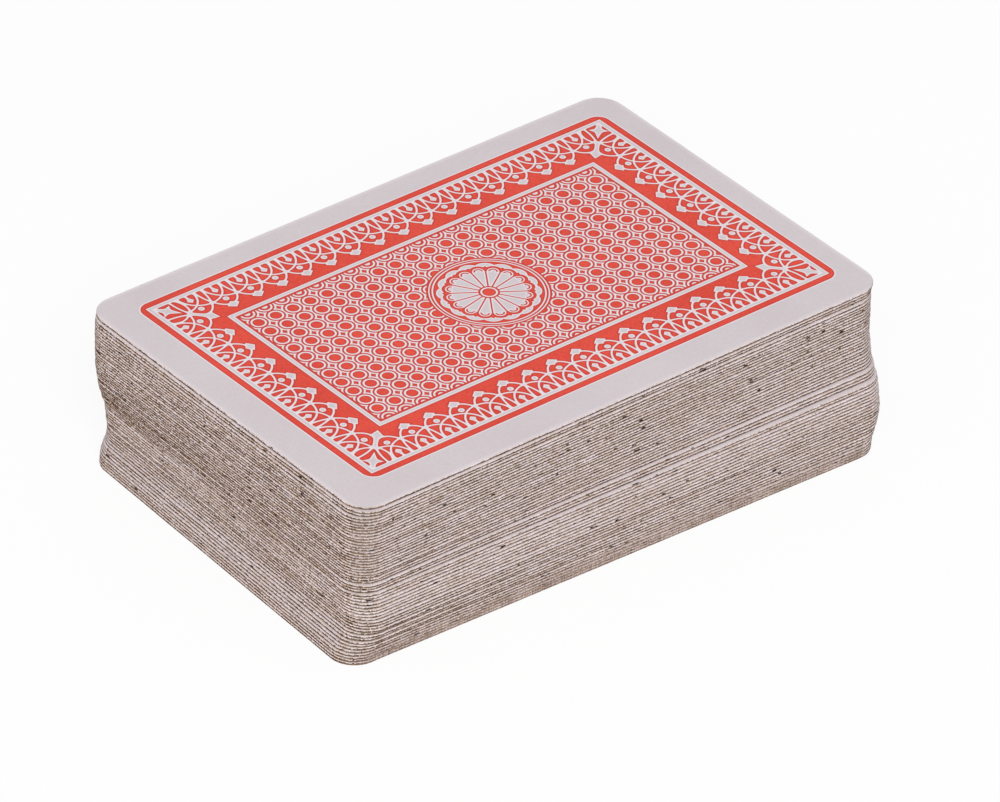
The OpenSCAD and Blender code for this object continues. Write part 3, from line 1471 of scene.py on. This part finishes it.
@dataclass
class Pack:
    """The whole pack, from the bottom card to the top one."""

    nodes: dict[str, bpy.types.Object]
    soils: tuple[float, ...] = (0.62, 0.62, 0.55, 0.4, 0.25, 0.1)
    crisp_cards: range = range(15, 24)
    crisp_rim: float = 0.57
    upper_cards: range = range(30, 54)
    upper_wear: float = 0.25
    red: tuple[Colour, Colour] = (paint(206, 58, 50), paint(192, 48, 42))
    black: tuple[Colour, Colour] = (paint(46, 42, 44), paint(34, 31, 33))

    def seats(self) -> list[CardSeat]:
        """Seats of all cards, from the bottom up."""
        return sorted((CardSeat.of(node) for node in self.nodes.values()), key=lambda seat: seat.centre.z)

    def edges(self, bottom: CardSeat) -> dict[int, bpy.types.Material]:
        """Make the finishes of the cut edges that stand out from the rest.

        Args:
            bottom: Seat of the bottom card.

        Returns:
            The finish of each such card, by its number from the bottom: soiled, crisp or worn.
        """
        sizes = self.edge_sizes(bottom)
        made = {}
        for number, soil in enumerate(self.soils):
            made[number] = CutEdge(f"card_soiled_edge_{number + 1}", *sizes, soil=soil).material()
        crisp = CutEdge("card_crisp_edge", *sizes, rim_start=self.crisp_rim).material()
        upper = CutEdge("card_upper_edge", *sizes, round_wear=self.upper_wear).material()
        return made | dict.fromkeys(self.crisp_cards, crisp) | dict.fromkeys(self.upper_cards, upper)

    def edge_sizes(self, seat: CardSeat) -> Point:
        """Thickness of a card and half its long side's straight part, in millimetres."""
        return seat.thickness / MM, (seat.length / 2 - seat.corner_round) / MM

    def build(self) -> CardSeat:
        """Build every card.

        Returns:
            The seat of the top card.
        """
        seats = self.seats()
        bottom = seats[0]
        back = BackPrint((bottom.length / 2 / MM, bottom.width / 2 / MM)).material()
        edges = self.edges(bottom)
        plain = CutEdge("card_cut_edge", *self.edge_sizes(bottom)).material()
        face = [
            FaceFinish("card_face_paper").material(),
            FaceFinish("card_face_red", *self.red).material(),
            FaceFinish("card_face_black", *self.black).material(),
        ]
        for number, seat in enumerate(seats):
            card = Card(seat, number).build([back, edges.get(number, plain), *face])
            LOG.info("%s: %d faces", card.name, len(card.data.polygons))
        return seats[-1]


@dataclass
class Studio:
    """Pale floor, soft light all round and a long lens at the photograph's angle. Lengths are in metres."""

    floor_half: float = 4.0
    floor_gap: float = 0.00002
    floor_white: float = 0.9
    floor_shown: float = 0.9
    sky: float = 0.51
    key_watts: float = 12.0
    key_size: float = 0.6
    key_place: tuple[float, float, float] = (-0.5, -0.82, 0.8)
    camera_place: tuple[float, float, float] = (-0.42794, -0.51599, 0.44959)
    azimuth: float = math.radians(39.7988)
    elevation: float = math.radians(34.5176)
    roll: float = math.radians(1.66)
    sensor: float = 36.0
    focal_pixels: float = 9000.0
    picture_width: float = 1000.0

    def seen(self, sheet: NodeSheet) -> Value:
        """Tell the rays that show the stage itself: from the camera, in a reflection or through glass.

        Args:
            sheet: Where the nodes go.

        Returns:
            1 on those rays and 0 on the rest.
        """
        path = sheet.node("ShaderNodeLightPath").outputs
        rays = [Value(sheet, path[f"Is {kind} Ray"]) for kind in ("Camera", "Glossy", "Transmission")]
        return largest(*rays)

    def floor(self) -> None:
        """Lay the floor under the pack."""
        half = self.floor_half
        mesh = bpy.data.meshes.new("floor")
        corners = [(-half, -half, 0), (half, -half, 0), (half, half, 0), (-half, half, 0)]
        mesh.from_pydata(corners, [], [(0, 1, 2, 3)])
        made = bpy.data.objects.new("floor", mesh)
        made.location.z = -self.floor_gap
        bpy.context.scene.collection.objects.link(made)
        finish = bpy.data.materials.new("floor_white")
        sheet = NodeSheet(finish)
        pale = (self.floor_white,) * 3 + (1.0,)
        matt = sheet.node("ShaderNodeBsdfDiffuse", None, {"Color": pale}).outputs[0]
        glow = sheet.node("ShaderNodeEmission", None, {"Color": WHITE, "Strength": 1.0}).outputs[0]
        shown = self.seen(sheet) * self.floor_shown
        mixed = sheet.node("ShaderNodeMixShader", None, {0: shown, 1: matt, 2: glow})
        sheet.node("ShaderNodeOutputMaterial", None, {"Surface": mixed.outputs[0]})
        mesh.materials.append(finish)

    def light(self) -> None:
        """Light the pack with an even white sky and one broad soft lamp."""
        world = bpy.data.worlds.new("studio")
        bpy.context.scene.world = world
        sheet = NodeSheet(world)
        even = sheet.node("ShaderNodeBackground", None, {"Color": WHITE, "Strength": self.sky}).outputs[0]
        shown = sheet.node("ShaderNodeBackground", None, {"Color": WHITE, "Strength": 1.0}).outputs[0]
        mixed = sheet.node("ShaderNodeMixShader", None, {0: self.seen(sheet), 1: even, 2: shown})
        sheet.node("ShaderNodeOutputWorld", None, {"Surface": mixed.outputs[0]})
        lamp = bpy.data.lights.new("soft_key", "AREA")
        lamp.energy = self.key_watts
        lamp.shape = "DISK"
        lamp.size = self.key_size
        made = bpy.data.objects.new("soft_key", lamp)
        made.location = self.key_place
        made.rotation_euler = (-Vector(self.key_place)).to_track_quat("-Z", "Y").to_euler()
        bpy.context.scene.collection.objects.link(made)

    def camera(self, top: CardSeat) -> None:
        """Set the camera by the top card's back.

        Args:
            top: Seat of the top card.
        """
        flat = math.cos(self.elevation)
        down = math.sin(self.elevation)
        ahead = Vector((math.sin(self.azimuth) * flat, math.cos(self.azimuth) * flat, -down))
        right = ahead.cross(Vector((0, 0, 1))).normalized()
        up = right.cross(ahead)
        axes = Matrix((right, up, -ahead)).transposed().to_4x4()
        lift = Matrix.Translation((0, 0, top.thickness))
        lens = bpy.data.cameras.new("photo_lens")
        lens.sensor_width = self.sensor
        lens.sensor_fit = "HORIZONTAL"
        lens.lens = self.focal_pixels / self.picture_width * self.sensor
        lens.clip_end = 2 * self.floor_half
        made = bpy.data.objects.new("photo_camera", lens)
        bpy.context.scene.collection.objects.link(made)
        roll = Matrix.Rotation(self.roll, 4, "Z")
        made.matrix_world = top.matrix() @ lift @ Matrix.Translation(self.camera_place) @ axes @ roll
        bpy.context.scene.camera = made

    def build(self, top: CardSeat) -> None:
        """Build the stage.

        Args:
            top: Seat of the top card, which the camera is set by.
        """
        self.floor()
        self.light()
        self.camera(top)
        bpy.context.scene.view_settings.view_transform = "Standard"


def main() -> None:
    """Build the pack and its studio."""
    logging.basicConfig(level=logging.INFO)
    top = Pack(frame["nodes"]).build()
    Studio().build(top)


if __name__ == "__main__":
    main()
